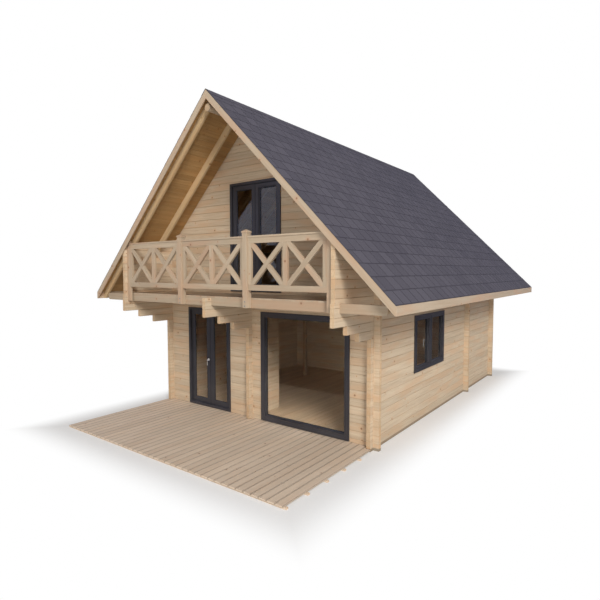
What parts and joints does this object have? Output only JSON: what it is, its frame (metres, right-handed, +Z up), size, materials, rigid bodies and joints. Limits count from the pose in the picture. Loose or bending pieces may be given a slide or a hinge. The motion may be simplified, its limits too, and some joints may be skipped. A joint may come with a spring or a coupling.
{
  "type": "log cabin",
  "caption": "Two-storey log cabin with a steep gable roof, a balcony under the front gable, a boarded terrace, a glazed double door and large windows.",
  "frame": {"origin": "on the ground, in the middle of the roof and terrace outline", "axes": "+Z up, the front with the terrace faces -Y, +X to the right seen from the front"},
  "size_m": [6.84, 9.62, 5.845],
  "materials": {
    "log_wood": "planed spruce",
    "roof_wood": "planed spruce in shade",
    "floor_wood": "planed boards",
    "deck_wood": "weathered boards",
    "base_wood": "treated timber",
    "dark_paint": "anthracite paint, satin",
    "shingle": "mineral granules",
    "pane": "clear",
    "handle_metal": "satin"
  },
  "bodies": {
    "cabin": {"balcony_beam": "log_wood", "balcony_door_frame": "dark_paint", "balcony_floor": "log_wood", "barge_boards": "log_wood", "base_beams": "base_wood", "door_frame": "dark_paint", "eave_boards": "log_wood", "front_wall_head": "log_wood", "front_wall_left": "log_wood", "front_wall_middle": "log_wood", "front_wall_right": "log_wood", "gable_wall_left": "log_wood", "gable_wall_right": "log_wood", "gable_wall_top": "log_wood", "ground_floor": "floor_wood", "inner_post": "log_wood", "inner_wall": "log_wood", "left_rafters": "roof_wood", "left_wall": "log_wood", "left_wing_wall": "log_wood", "loft_floor": "floor_wood", "middle_bracket": "log_wood", "partition_wall": "log_wood", "picture_window_frame": "dark_paint", "railing_panels": "log_wood", "railing_posts": "log_wood", "rear_wall": "log_wood", "ridge_pole": "log_wood", "right_rafters": "roof_wood", "right_wall_front": "log_wood", "right_wall_head": "log_wood", "right_wall_rear": "log_wood", "right_wall_sill": "log_wood", "right_wing_wall": "log_wood", "roof_boards": "roof_wood", "shingles": "shingle", "side_window_frame": "dark_paint", "terrace_bearers": "deck_wood", "terrace_boards": "deck_wood", "window_glass": "pane"},
    "left_leaf": {"left_door_leaf": "dark_paint", "left_door_glass": "pane"},
    "right_leaf": {"right_door_leaf": "dark_paint", "right_door_glass": "pane"},
    "lever": {"door_handle": "handle_metal"}
  },
  "joints": [
    {"name": "left_door_hinge", "type": "hinge", "parent": "cabin", "child": "left_leaf", "pos_m": [-1.851, -2.41, 1.08], "axis": [0, 0, 1], "range_deg": [0, 90]},
    {"name": "right_door_hinge", "type": "hinge", "parent": "cabin", "child": "right_leaf", "pos_m": [-0.711, -2.41, 1.08], "axis": [0, 0, -1], "range_deg": [0, 90]},
    {"name": "handle_turn", "type": "hinge", "parent": "left_leaf", "child": "lever", "pos_m": [-1.331, -2.46, 1.03], "axis": [0, 1, 0], "range_deg": [0, 90]}
  ]
}
